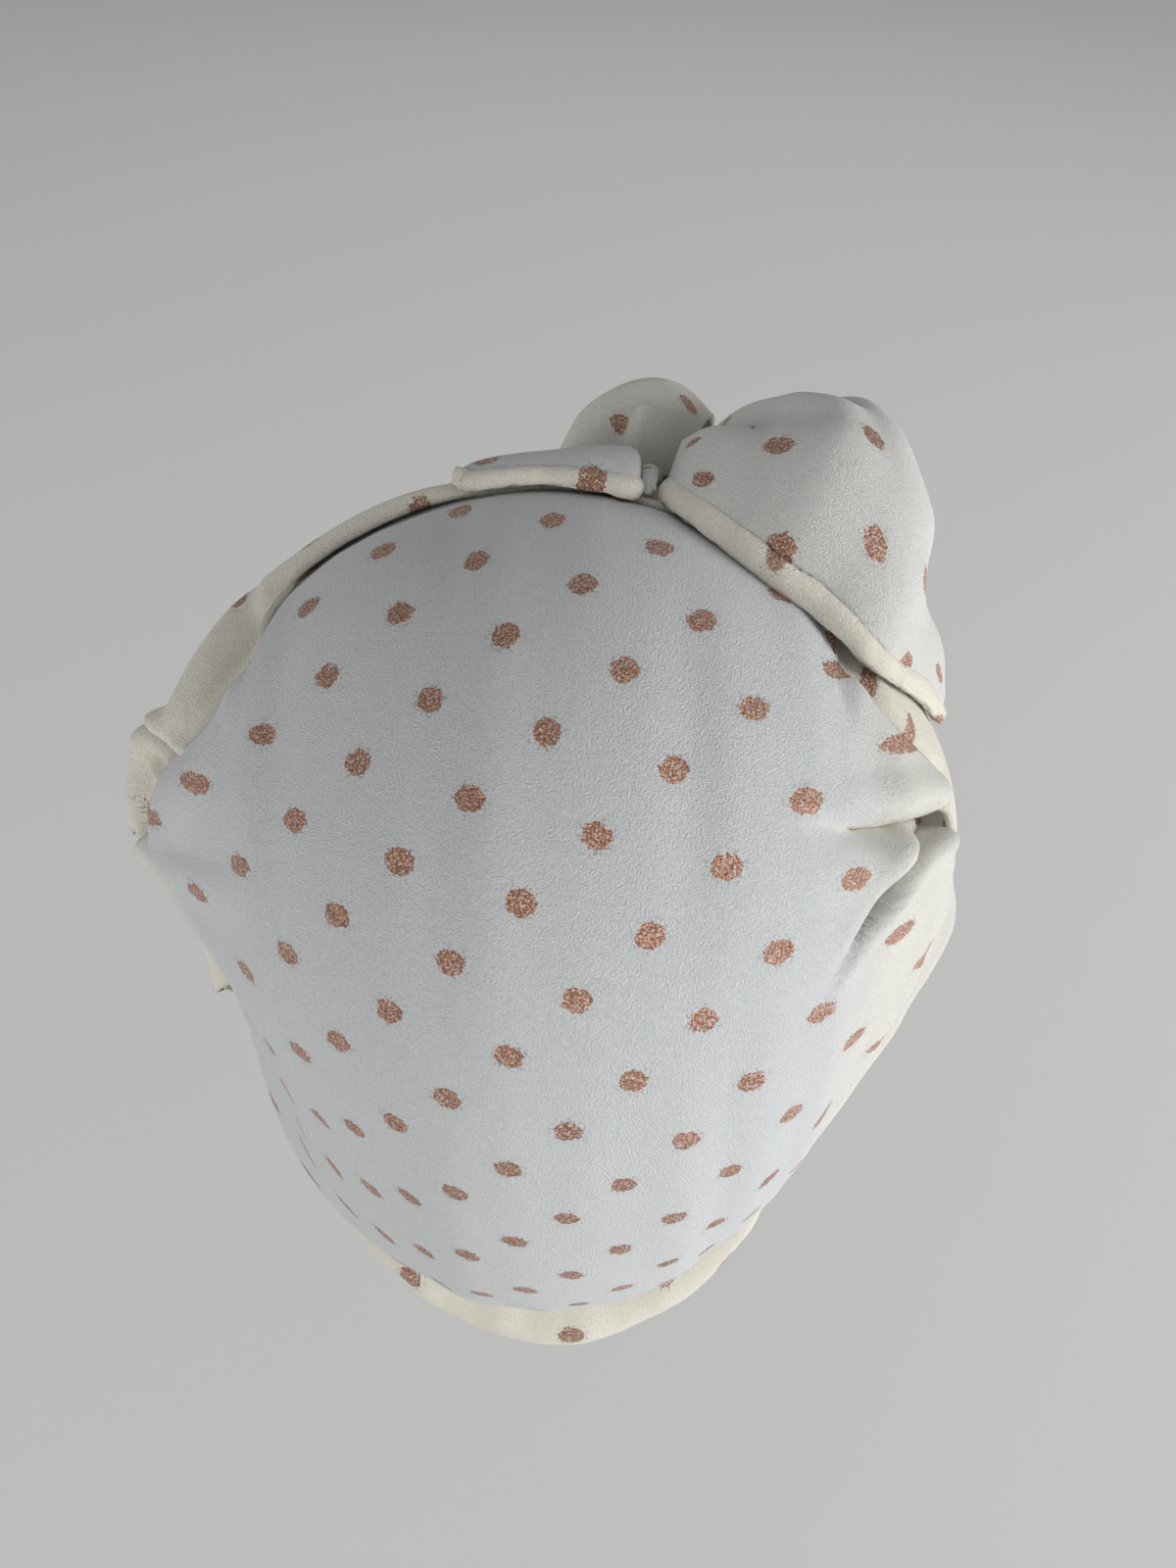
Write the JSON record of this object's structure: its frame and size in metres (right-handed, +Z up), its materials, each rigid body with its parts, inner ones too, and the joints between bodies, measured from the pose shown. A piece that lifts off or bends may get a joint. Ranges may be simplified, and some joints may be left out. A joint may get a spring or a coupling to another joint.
{
  "type": "turban headwrap",
  "caption": "Pre-tied crepe turban with foil dots: gathered crown bag, pleated front band with a rolled edge, puffy nape band and a side bow with a full puff.",
  "frame": {"origin": "centre of the wearer's head at brow height, which is the head_seat mount", "axes": "+Z up, the wearer faces -Y, the wearer's left is +X"},
  "size_m": [0.2051, 0.2012, 0.2471],
  "materials": {
    "crown": "crepe with rose gold foil dots",
    "front_band": "crepe with rose gold foil dots",
    "nape_band": "crepe with rose gold foil dots",
    "bow_puff": "crepe with rose gold foil dots",
    "bow_loop": "crepe with rose gold foil dots",
    "bow_tail": "crepe with rose gold foil dots",
    "knot": "crepe"
  },
  "bodies": {
    "root": {"crown": "crown", "front_band": "front_band", "nape_band": "nape_band", "bow_puff": "bow_puff", "bow_loop": "bow_loop", "bow_tail": "bow_tail", "knot": "knot"}
  },
  "joints": []
}
